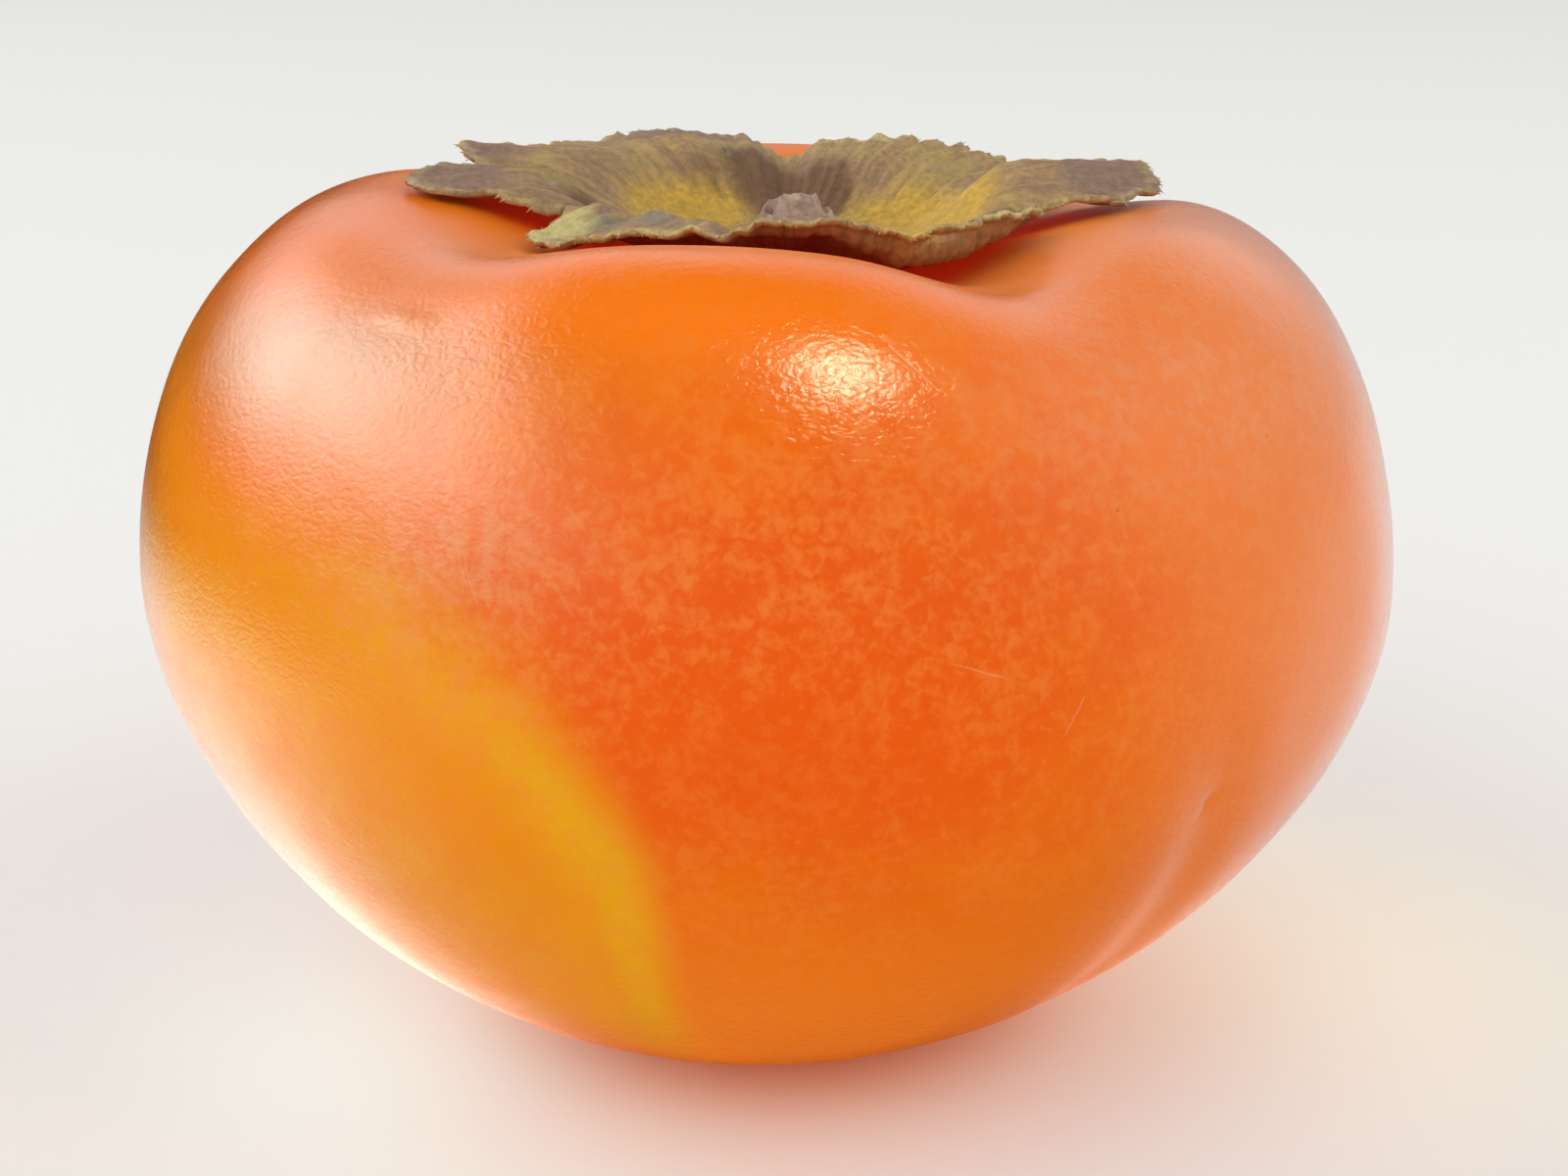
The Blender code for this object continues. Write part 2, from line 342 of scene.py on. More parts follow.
def growFruit(skin):
    tree, board, size = newGrowth("fruitGrowth", {**fruitSizes, "skin": skin})
    grid = board.add("GeometryNodeMeshGrid", None, 1.0, 1.0, size["around"], size["along"])
    spot = board.axes(board.add("GeometryNodeInputPosition"))
    azimuth = spot.out("X") * 360
    along = spot.out("Y") + 0.5

    # the round fruit's outline, from the middle underneath to the middle of the top
    shares = []
    start = 0.0
    for stretch in fruitStretches.values():
        shares.append(((along - start) / stretch).held())
        start += stretch
    dimple, flat, belly, shoulder, cavity = shares
    shoulderRest = 1 - shoulder
    beltWidth = size["radius"] - size["flatRadius"]
    capWidth = size["radius"] - size["shoulderRadius"]
    radius = dimple * size["dimpleRadius"] + flat * (size["flatRadius"] - size["dimpleRadius"])
    radius = radius + beltWidth * quarterAcross(belly, size["bellyRoundness"])
    radius = radius - capWidth * (1 - quarterAcross(shoulderRest, size["shoulderRoundness"]))
    radius = radius - cavity * size["shoulderRadius"]
    capHeight = size["height"] - size["equator"]
    height = size["dimpleDepth"] * ((dimple * math.pi).cos() * 0.5 + 0.5)
    height = height + size["equator"] * quarterUp(belly, size["bellyRoundness"])
    height = height + capHeight * (1 - quarterUp(shoulderRest, size["shoulderRoundness"]))
    height = height - size["cavityDepth"] * (0.5 - (cavity * math.pi).cos() * 0.5)

    # lobes, valleys and furrows
    climb = height / size["height"]
    climb = climb * climb
    inside = 0.0
    sink = 0.0
    crease = 0.0
    for foot, head, drop, depth in fruitValleys:
        off = azimuth - foot - climb * (head - foot)
        off = off.wrapped()
        wide = off.bell(0.0, size["valleyWidth"])
        inside = wide + inside
        sink = wide * drop + sink
        crease = off.bell(0.0, size["furrowWidth"]) * depth + crease
    run = height.eased(size["furrowFoot"], size["furrowFoot"] + 0.008)
    run = run * (1 - height.eased(size["furrowHead"] - 0.012, size["furrowHead"]))
    run = run * radius.eased(size["flatRadius"], size["flatRadius"] * 1.02)
    crease = crease * run
    fullness = ((height / size["height"]).least(1.0) * math.pi).sin()
    oval = 1 - size["ovality"] * ((azimuth - size["narrowAzimuth"]) * (math.pi / 90)).cos()
    out = radius * oval * (1 - size["valleyPinch"] * fullness * inside) - crease
    above = ((height - size["equator"]) / capHeight).most(0.0)
    up = height - sink * above * above * radius.eased(0.004, 0.018)
    turn = azimuth * (math.pi / 180)
    across = out * turn.sin()
    back = -(out * turn.cos())
    high = (up - size["equator"]).most(0.0)
    aside = across + size["lean"] * high * high / capHeight
    lifted = up - size["lean"] * across * up.eased(0.0, size["equator"])
    place = board.add("ShaderNodeCombineXYZ", None, aside, back, lifted)
    shaped = board.add("GeometryNodeSetPosition", None, grid, position=place)
    shaped = board.add("GeometryNodeMergeByDistance", None, shaped, distance=1e-6)

    # soft lumps and the few small dents, along the skin's own direction
    place = board.add("GeometryNodeInputPosition")
    spot = board.axes(place)
    around = azimuthOf(spot)
    lumps = board.add(
        "ShaderNodeTexNoise", {"noise_dimensions": "4D"}, vector=place, w=size["seed"],
        scale=1 / size["lumpSize"], detail=1.0, roughness=0.4,
    )
    push = (lumps - 0.5) * size["lumpHeight"] * 2
    for foot, level, halfRound, tall, rise in fruitDents:
        wide = math.degrees(halfRound / fruitSizes["radius"])
        push = push + around.bell(foot, wide) * spot.out("Z").bell(level, tall) * rise
    push = push * spot.out("Z").eased(0.0002, 0.006)
    normal = board.add("GeometryNodeInputNormal")
    offset = board.vector("SCALE", normal, scale=push)
    shaped = board.add("GeometryNodeSetPosition", None, shaped, offset=offset)
    shaped = board.add("GeometryNodeSetShadeSmooth", None, shaped)
    shaped = board.add("GeometryNodeRealizeInstances", None, shaped)
    shaped = board.add("GeometryNodeSetMaterial", None, shaped, material=size["skin"])
    board.add("NodeGroupOutput", None, shaped)
    return grownMesh("fruitSkin", tree, **fruitSizes, skin=skin)


def settleOn(piece, node):  # its middle and its lowest point go where the CAD model has them
    low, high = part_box(node)
    points = piece.data.vertices
    xs = [point.co.x for point in points]
    ys = [point.co.y for point in points]
    step = Vector((
        (low.x + high.x - min(xs) - max(xs)) / 2,
        (low.y + high.y - min(ys) - max(ys)) / 2,
        low.z - min(point.co.z for point in points),
    ))
    for point in points:
        point.co += step
    return step


def facesOut(piece):  # turns the faces of a closed mesh outwards
    mesh = bmesh.new()
    mesh.from_mesh(piece.data)
    bmesh.ops.recalc_face_normals(mesh, faces=mesh.faces)
    mesh.to_mesh(piece.data)
    mesh.free()


skinLook = {
    "deep": (0.75, 0.092, 0.001),
    "orange": (0.78, 0.160, 0.002),
    # painted light: this colour and the next make the top of the skin lighter
    "upper": (0.83, 0.165, 0.001),
    "crest": (0.93, 0.190, 0.003),
    "right": (0.74, 0.190, 0.004),
    # painted shade: a darker base for the left shoulder, under the window's sheen
    "veiled": (0.38, 0.165, 0.020),
    "gold": (0.75, 0.345, 0.003),
    "amber": (0.75, 0.235, 0.002),
    "bloom": (0.80, 0.225, 0.028),
    # pale powder, which is painted sheen in the first of the powdery patches
    "powder": (0.60, 0.57, 0.45),
    # pale mealy bloom, which also paints the white floor's reflection low on the left flank
    "meal": (0.42, 0.54, 0.44),
    # painted light: the bottom of the skin is lighter, as lit by light bounced from the floor
    "foot": (0.91, 0.265, 0.018),
    # painted shade under the calyx
    "shaded": (0.80, 0.040, 0.001),
    "glow": (0.16, 0.005, 0.001),  # painted glow, standing in for light that comes through the flesh below the calyx
    # painted light: the foot of the skin glows, standing in for light bounced from the floor
    "footGlow": (0.13, 0.038, 0.002),
    "speck": (0.20, 0.040, 0.012),
    "scratch": (0.93, 0.42, 0.20),
    "roughness": 0.16,
    "specular": 0.28,
    "fleshShare": 0.28,  # how much of the light goes through the flesh
    "fleshReach": 0.004,
    "fleshReds": (1.0, 0.22, 0.05),  # red light reaches furthest
    "coatRoughness": 0.25,
    "coatIor": 1.40,
    "wrinkleHeight": 0.000048,
}

# Powdery patches, the first of them a painted sheen on the upper left: azimuth, height in mm, half width
# round, half width up, strength.
skinPowderAndSheen = (
    (-27, 42.5, 12, 5.0, 0.15),
    (46, 48.5, 26, 7.0, 0.11),
)

# Fine scratches on the skin, each from one (azimuth, height in mm) to another.
skinScratches = (
    (-27.5, 43.6, -24.5, 39.8),
    (-25.5, 42.0, -23.6, 38.9),
    (11.0, 52.2, 15.5, 49.7),
    (-42.5, 51.7, -37.5, 52.9),
    (14.0, 36.4, 19.0, 35.2),
    (24.0, 31.5, 26.0, 33.8),
)


def skinMaterial():
    made, board = newMaterial("persimmonSkin")
    place, azimuth, height = placeWires(board)
    look = skinLook

    def over(share, name):  # the colour so far, with another one laid over it
        return board.mix(share, colour, look[name])

    # a slow drift of orange, deepest on the front
    wander = board.noise(place, 70.0, 3.0, 0.6)
    cloud = board.noise(place, 260.0, 4.0, 0.6)
    streaks = board.noise(board.stretched(place, (240.0, 240.0, 900.0)), 1.0, 3.0, 0.6)
    small = board.noise(place, 560.0, 3.0, 0.6)
    front = azimuth.bell(2.0, 36.0) * height.bell(37.0, 15.0)
    # painted light: the upper skin is a lighter orange
    colour = board.mix(height.eased(36.0, 52.0), look["orange"], look["upper"])
    colour = over((front + (cloud - 0.5) * 0.7).eased(0.15, 0.95), "deep")
    heart = azimuth.bell(0.0, 17.0) * height.bell(31.0, 5.5)
    colour = over(heart * (0.4 + cloud * 0.8).held(), "deep")
    # painted light: the crest just in front of the calyx is lighter still
    crest = height.eased(50.0, 54.0) * azimuth.bell(0.0, 45.0)
    colour = over(crest * 0.8, "crest")
    rightSide = azimuth.eased(30.0, 75.0) * (1 - azimuth.eased(120.0, 170.0))
    colour = over(rightSide * 0.6, "right")
    # painted shade on the left shoulder, under the window's sheen
    leftSide = azimuth.bell(-47.0, 24.0) * height.bell(50.0, 4.6) * (1 - height.eased(51.0, 53.5) * 0.5)
    colour = over(leftSide * 0.9, "veiled")
    # painted light: the bottom of the skin is lighter, standing in for light bounced from the floor
    low = (1 - height.eased(4.0, 22.0)) * (1 - (-azimuth).eased(20.0, 45.0) * 0.6)
    colour = over(low * 0.75, "foot")

    # the golden patch on the left, sharp along the furrow and streaky along its top
    fine = board.noise(place, 2600.0, 3.0, 0.65, 0.6)
    ragged = (wander - 0.5) * 4.0 + (cloud - 0.5) * 3.0 * height.eased(24.0, 34.0)
    edge = -azimuth - 8.6 - (height - 25.0).most(0.0) * 0.45 + ragged
    top = 35.0 + (-azimuth - 14.0).held(0.0, 20.0) * 0.33
    rise = top - height + (streaks - 0.5) * 6.0 + (wander - 0.5) * 4.0 + (fine - 0.5) * 5.0
    inner = edge.eased(-1.0, 5.0 + (height - 24.0).held(0.0, 10.0) * 0.6)
    gold = inner * rise.eased(-4.0, 6.0)
    gold = gold * (1 - (-azimuth).eased(84.0, 125.0)) * height.eased(3.0, 12.0)
    middle = (edge.bell(4.5, 5.0) * (1 - height.eased(26.0, 36.0)) + rise.bell(5.5, 4.5) * 0.6).held()
    gold = gold * (0.49 + middle * 0.55 + (cloud - 0.5) * 0.8).held()
    colour = over(gold, "gold")
    line = 42.6 - (azimuth + 63.0) * 0.30 - (azimuth + 34.0).most(0.0) * 0.45
    amber = (height - line + (cloud - 0.5) * 5.0 + (fine - 0.5) * 4.0).bell(0.0, 3.6)
    amber = amber * (-azimuth).eased(15.0, 27.0) * (1 - (-azimuth).eased(80.0, 110.0))
    colour = over(amber * 0.75, "amber")
    crease = (edge - 8.0 - (wander - 0.5) * 3.0).bell(0.0, 1.6) * height.bell(16.0, 6.0)
    colour = over(crease * 0.30, "orange")

    # pale bloom, as soft mottling
    patch = board.noise(place, 150.0, 2.0, 0.5)
    flecks = board.noise(place, 1300.0, 3.0, 0.65, 0.5)
    belt = azimuth.bell(-2.0, 46.0) * height.bell(37.0, 18.0)
    mottle = (flecks * 0.65 + small * 0.35 + (patch - 0.5) * 0.30 + belt * 0.03).eased(0.42, 0.66)
    mottle = mottle * (0.15 + belt * 0.85).held() * (1 - heart * 0.6)
    colour = over(mottle * 0.60, "bloom")
    powdery = 0.6 + (flecks * 0.6 + small * 0.4).eased(0.40, 0.64) * 0.8
    # powder, and painted sheen in the first patch
    for turn, level, wide, tall, strength in skinPowderAndSheen:
        dustAndSheen = azimuth.bell(turn, wide) * height.bell(level, tall) * powdery * strength
        colour = over(dustAndSheen, "powder")
    # pale mealy patch low on the left flank, which also paints the white floor's reflection there
    flank = (-27.0 - azimuth * 0.75 - height + (small - 0.5) * 5.0).eased(-5.0, 6.0)
    flank = flank * (1 - (-azimuth).eased(95.0, 150.0)) * height.eased(0.5, 4.0)
    mealy = 0.55 + (flecks * 0.6 + small * 0.4).eased(0.38, 0.64) * 0.9
    colour = over(flank * mealy * 0.28, "meal")

    # painted shade and painted glow below the calyx, and painted glow at the foot
    flat = board.vector("MULTIPLY", place, (1.0, 1.0, 0.0))
    out = board.vector("LENGTH", flat).out("Value") * 1000
    sepals = azimuth.bell(89.0, 17.0) * 4.5 + azimuth.bell(-82.0, 14.0) * 3.0
    covered = (1 - (out - sepals).eased(14.0, 19.0)) * height.eased(47.0, 50.0)
    beside = (1 - out.eased(19.0, 29.0)) * height.eased(46.0, 50.0)
    colour = over(covered * 0.9, "shaded")
    glow = board.mix(covered, (0.0, 0.0, 0.0), look["glow"])
    # painted light: the foot of the skin glows, as if lit from the floor
    glow = board.plus(1 - height.eased(0.0, 11.0), glow, look["footGlow"])

    # dark specks, a few to each square centimetre
    dots = board.add("ShaderNodeTexVoronoi", None, vector=place, scale=210.0)
    chosen = board.add("ShaderNodeSeparateColor", None, dots.out("Color"))
    speck = (1 - dots.out("Distance").eased(0.01, 0.035)) * chosen.out("Red").eased(0.82, 0.83)
    colour = over(speck * 0.5, "speck")

    # scratches
    scratch = 0.0
    for fromTurn, fromHeight, toTurn, toHeight in skinScratches:
        wide = math.radians(toTurn - fromTurn) * fruitSizes["radius"] * 1000
        tall = toHeight - fromHeight
        span = math.hypot(wide, tall)
        right = (azimuth - fromTurn) * (math.radians(1) * fruitSizes["radius"] * 1000)
        up = height - fromHeight
        run = (right * (wide / span) + up * (tall / span)) / span
        off = (right * (-tall / span) + up * (wide / span)) + (cloud - 0.5) * 0.5
        line = off.bell(0.0, 0.045) * run.eased(0.0, 0.15) * (1 - run.eased(0.85, 1.0))
        scratch = line + scratch
    colour = over(scratch * 0.35, "scratch")

    # wax and its fine wrinkles
    cells = board.add(
        "ShaderNodeTexVoronoi", {"feature": "DISTANCE_TO_EDGE"},
        vector=board.stretched(place, (1500.0, 1500.0, 2100.0)), scale=1.0, randomness=1.0,
    )
    wrinkle = board.noise(board.stretched(place, (1500.0, 1500.0, 2400.0)), 1.0, 3.0, 0.6, 0.5)
    roughness = look["roughness"] + (small - 0.5) * 0.16 + mottle * 0.06 + beside * 0.4
    facing = azimuth.bell(5.0, 32.0)
    wax = 0.62 + (cloud - 0.5) * 0.5 - mottle * 0.15 - facing * 0.4 - amber * 0.4
    wax = wax.held() * (1 - beside * 0.9)
    relief = wrinkle + cells.eased(0.0, 0.35) * 0.2 + small * 0.7 - speck * 0.5 - scratch * 0.6
    surface = board.bump(relief, look["wrinkleHeight"])
    shade(
        board, baseColor=colour, roughness=roughness, ior=1.45, specularIorLevel=look["specular"],
        subsurfaceWeight=look["fleshShare"], subsurfaceRadius=look["fleshReds"],
        subsurfaceScale=look["fleshReach"], coatWeight=wax, coatRoughness=look["coatRoughness"],
        coatIor=look["coatIor"], emissionColor=glow, emissionStrength=1.0, normal=surface,
    )
    return made


fruitSkin = growFruit(skinMaterial())
facesOut(fruitSkin)
fruitStep = settleOn(fruitSkin, "fruit")
print("fruit grown:", len(fruitSkin.data.polygons), "faces")


# The calyx

calyxSizes = {
    "around": 540,
    "rings": 60,
    "ringPower": 0.85,
    "discRadius": 0.0080,
    "archRadius": 0.0150,
    "gap": 0.0003,
    "discThickness": 0.0011,
    "edgeThickness": 0.00045,
    "ribHeight": 0.00020,
    "crinkle": 0.00014,
    "teeth": 0.00040,
    "tear": 0.0008,
    "stripeHeight": 0.00009,
    "stripeTurn": 5.6,
}

# The margin all the way round: azimuth, how far out it is, how far the calyx arches above the
# fruit just inside it, how far the margin itself is lifted, and how far its last bit curls up.
calyxMargin = (
    (-68, 0.0182, 0.0016, 0.0009, 0.0000),
    (-60, 0.0144, 0.0012, 0.0008, 0.0000),
    (-50, 0.0192, 0.0017, 0.0004, -0.0003),
    (-39, 0.0210, 0.0018, 0.0002, 0.0000),
    (-22, 0.0204, 0.0014, 0.0002, 0.0000),
    (-8, 0.0182, 0.0009, 0.0002, 0.0002),
    (-3, 0.0186, 0.0008, 0.0003, 0.0008),
    (5, 0.0192, 0.0008, 0.0003, 0.0008),
    (18, 0.0192, 0.0008, 0.0006, 0.0013),
    (26, 0.0190, 0.0009, 0.0009, 0.0014),
    (32, 0.0192, 0.0010, 0.0010, 0.0020),
    (42, 0.0198, 0.0010, 0.0010, 0.0018),
    (52, 0.0198, 0.0010, 0.0010, 0.0011),
    (59, 0.0186, 0.0011, 0.0009, 0.0003),
    (65, 0.0148, 0.0012, 0.0009, 0.0000),
    (71, 0.0168, 0.0012, 0.0006, 0.0000),
    (78, 0.0206, 0.0014, 0.0002, 0.0000),
    (89, 0.0236, 0.0022, 0.0006, -0.0002),
    (99, 0.0230, 0.0033, 0.0019, 0.0000),
    (112, 0.0214, 0.0029, 0.0025, 0.0000),
    (122, 0.0194, 0.0024, 0.0021, 0.0000),
    (131, 0.0200, 0.0022, 0.0019, 0.0000),
    (150, 0.0198, 0.0020, 0.0015, 0.0000),
    (168, 0.0188, 0.0015, 0.0013, 0.0000),
    (179, 0.0168, 0.0010, 0.0008, 0.0000),
    (190, 0.0188, 0.0018, 0.0014, 0.0000),
    (212, 0.0206, 0.0029, 0.0019, 0.0000),
    (230, 0.0214, 0.0030, 0.0020, 0.0000),
    (250, 0.0226, 0.0024, 0.0012, 0.0000),
    (264, 0.0196, 0.0014, 0.0008, 0.0000),
    (274, 0.0222, 0.0018, 0.0006, 0.0000),
    (282, 0.0232, 0.0018, 0.0002, -0.0001),
    (287, 0.0222, 0.0017, 0.0002, 0.0000),
)

# Folds and hollows: azimuth, radius, half width round in degrees, half length outwards, rise.
calyxFolds = (
    (-140, 0.0105, 16, 0.0028, -0.0006),
    (128, 0.0105, 18, 0.0030, -0.0006),
    (150, 0.0105, 14, 0.0028, -0.0004),
    (60, 0.0100, 14, 0.0030, -0.0007),
    (-118, 0.0140, 4, 0.0050, 0.0006),
    (-92, 0.0130, 5, 0.0060, -0.0004),
    (-70, 0.0125, 5, 0.0025, -0.0007),
    (-48, 0.0140, 6, 0.0040, 0.0008),
    (-30, 0.0150, 4, 0.0045, 0.0005),
    (-12, 0.0140, 4, 0.0050, -0.0003),
    (8, 0.0110, 5, 0.0050, 0.0007),
    (26, 0.0150, 4, 0.0050, -0.0003),
    (45, 0.0150, 5, 0.0040, 0.0004),
    (76, 0.0150, 4, 0.0060, 0.0006),
    (90, 0.0160, 3, 0.0070, 0.0003),
    (104, 0.0150, 3, 0.0060, -0.0004),
    (178, 0.0130, 5, 0.0050, -0.0004),
)

# Stains, and under "dark" painted shade in the hollows and under the folds: azimuth, radius, half width
# round, half length outwards, strength.
calyxStainsAndShade = {
    "bowl": (
        (-138, 0.0088, 34, 0.0036, 1.0), (-95, 0.0068, 34, 0.0032, 0.9), (116, 0.0094, 42, 0.0044, 1.0),
        (66, 0.0092, 30, 0.0044, 1.0), (26, 0.0150, 8, 0.0055, 1.0), (-60, 0.0060, 30, 0.0025, 0.5),
    ),
    # painted shade in the hollows, between the sepals and under their folds
    "dark": (
        (180, 0.0095, 20, 0.0045, 1.0), (163, 0.0110, 9, 0.0030, 0.8), (-150, 0.0120, 9, 0.0018, 0.5),
        (-72, 0.0122, 9, 0.0024, 1.0), (61, 0.0138, 8, 0.0024, 1.0), (-172, 0.0130, 8, 0.0025, 0.5),
        (20, 0.0060, 14, 0.0020, 0.4),
    ),
    "pale": (
        (-46, 0.0185, 8, 0.0028, 0.9), (-52, 0.0160, 5, 0.0020, 0.6), (-20, 0.0195, 10, 0.0012, 0.6),
        (48, 0.0180, 9, 0.0018, 0.6), (12, 0.0188, 22, 0.0006, 0.9), (160, 0.0186, 6, 0.0008, 0.7),
    ),
    "purple": (
        (-79, 0.0210, 12, 0.0042, 1.0), (-109, 0.0210, 11, 0.0036, 1.0), (90, 0.0215, 16, 0.0042, 1.0),
        (-160, 0.0188, 22, 0.0026, 0.9), (118, 0.0195, 7, 0.0014, 0.7), (5, 0.0070, 30, 0.0030, 0.9),
        (85, 0.0056, 40, 0.0018, 0.8), (28, 0.0110, 10, 0.0030, 0.5),
    ),
    "cool": (
        (-38, 0.0165, 9, 0.0020, 0.8), (-24, 0.0170, 8, 0.0018, 0.6), (-76, 0.0150, 7, 0.0016, 0.5),
        (-168, 0.0140, 8, 0.0018, 0.6), (112, 0.0135, 4, 0.0014, 0.8), (88, 0.0185, 5, 0.0016, 0.5),
    ),
}


def marginAt(azimuth):  # the margin's four measures between two of its rows
    turn = azimuth % 360
    for row, following in zip(calyxMargin, calyxMargin[1:] + calyxMargin[:1]):
        share = ((turn - row[0]) % 360) / ((following[0] - row[0]) % 360)
        if share <= 1:
            curve = smoothStep(0, 1, share)
            reach = row[1] + (following[1] - row[1]) * (share + curve) / 2
            return reach, *(near + (far - near) * curve for near, far in zip(row[2:], following[2:]))
    raise ValueError("the margin has a gap")


def skinUnder(skinTree, x, y):  # the fruit's own height under a place
    hit = skinTree.ray_cast(Vector((x, y, 0.1)), Vector((0.0, 0.0, -1.0)))[0]
    return hit.z


def calyxCorner(skinTree, middle, azimuth, ring, size):
    reach, arch, lift, curl = marginAt(azimuth)
    turn = math.radians(azimuth)
    sideways, ahead = math.sin(turn), -math.cos(turn)
    around = Vector((sideways, ahead, 0.0))
    teeth = noise.noise(around * 38 + Vector((3.1, 0.2, 5.0))) * size["teeth"]
    teeth += noise.noise(around * 90 + Vector((0.4, 7.2, 1.0))) * size["teeth"] * 0.6
    tear = max(0.0, noise.noise(around * 17 + Vector((9.0, 2.0, 4.0))) - 0.15) * size["tear"] * 2
    edge = reach + teeth - tear
    radius = ring * (reach + (edge - reach) * smoothStep(0.6, 1.0, ring))
    radius -= max(0.0, curl) * 0.7 * smoothStep(0.90, 1.0, ring)
    oval = 1 - fruitSizes["ovality"] * math.cos(2 * math.radians(azimuth - fruitSizes["narrowAzimuth"]))
    x = middle.x + radius * oval * sideways
    y = middle.y + radius * oval * ahead
    height = skinUnder(skinTree, x, y) + size["gap"]
    rise = smoothStep(size["discRadius"], size["archRadius"], radius)
    fall = smoothStep(size["archRadius"], max(reach, size["archRadius"] + 0.001), radius)
    height += rise * (arch * (1 - fall) + lift * fall)
    for foldTurn, foldRadius, wide, halfLength, swell in calyxFolds:
        off = abs(turned(azimuth - foldTurn)) / wide
        if off < 3:
            height += swell * math.exp(-off * off) * bell(radius - foldRadius, halfLength)
    ribs = noise.noise(around * 15 + Vector((0.0, 0.0, radius * 90)))
    ribs += 0.6 * noise.noise(around * 34 + Vector((5.0, 0.0, radius * 130)))
    outer = smoothStep(0.006, 0.014, radius)
    height += size["ribHeight"] * ribs * 1.6 * outer
    crumple = noise.noise(Vector((x, y, 0.0)) * 620) + 0.5 * noise.noise(Vector((x, y, 0.01)) * 1500)
    height += size["crinkle"] * crumple * (0.3 + 0.7 * outer)
    height += curl * smoothStep(0.86, 1.0, ring)
    stripes = smoothStep(112, 124, azimuth) * (1 - smoothStep(160, 170, azimuth))
    wavy = azimuth + noise.noise(Vector((azimuth * 0.11, radius * 200, 0.0))) * 2.2
    furrows = math.sin(math.radians(wavy * 360 / size["stripeTurn"]))
    height += size["stripeHeight"] * stripes * outer * furrows
    thick = size["discThickness"]
    thick += (size["edgeThickness"] - thick) * smoothStep(size["discRadius"], 0.018, radius)
    return Vector((x, y, height)), thick


def calyxMiddle():
    return Vector((fruitSizes["lean"] * 0.0217 + fruitStep.x, fruitStep.y, 0.0))


def makeCalyx(skinTree, finish, size):
    middle = calyxMiddle()
    mesh = bmesh.new()
    bottoms, tops = [], []
    for ring in range(size["rings"] + 1):
        share = (ring / size["rings"]) ** size["ringPower"]
        lower, upper = [], []
        steps = size["around"] if ring else 1
        for step in range(steps):
            azimuth = step * 360 / size["around"]
            corner, thick = calyxCorner(skinTree, middle, azimuth, share, size)
            lower.append(mesh.verts.new(corner))
            upper.append(mesh.verts.new(corner + Vector((0.0, 0.0, thick))))
        bottoms.append(lower)
        tops.append(upper)
    for rows in (bottoms, tops):
        for near, far in zip(rows, rows[1:]):
            for step in range(size["around"]):
                following = (step + 1) % size["around"]
                if len(near) == 1:
                    mesh.faces.new((near[0], far[step], far[following]))
                else:
                    mesh.faces.new((near[step], far[step], far[following], near[following]))
    rimMiddle = []
    for step in range(size["around"]):  # the cut edge, a little rounded
        low, high = bottoms[-1][step], tops[-1][step]
        outward = (low.co - bottoms[-2][step].co).normalized()
        rimMiddle.append(mesh.verts.new((low.co + high.co) / 2 + outward * size["edgeThickness"] * 0.35))
    for row, following in ((bottoms[-1], rimMiddle), (rimMiddle, tops[-1])):
        for step in range(size["around"]):
            after = (step + 1) % size["around"]
            mesh.faces.new((row[step], following[step], following[after], row[after]))
    return meshFrom("calyxLeaves", mesh, finish)


calyxLook = {
    "tan": (0.42, 0.275, 0.125),
    "brown": (0.25, 0.155, 0.090),
    "olive": (0.36, 0.280, 0.080),
    "purple": (0.225, 0.140, 0.115),
    "bowl": (0.56, 0.350, 0.045),
    "cool": (0.190, 0.205, 0.165),
    # painted shade for the hollows and under the folds
    "dark": (0.130, 0.060, 0.030),
    "pale": (0.52, 0.460, 0.190),
    "margin": (0.55, 0.470, 0.200),
    "under": (0.30, 0.130, 0.045),
    "roughness": 0.72,
    "fibreHeight": 0.00012,
}


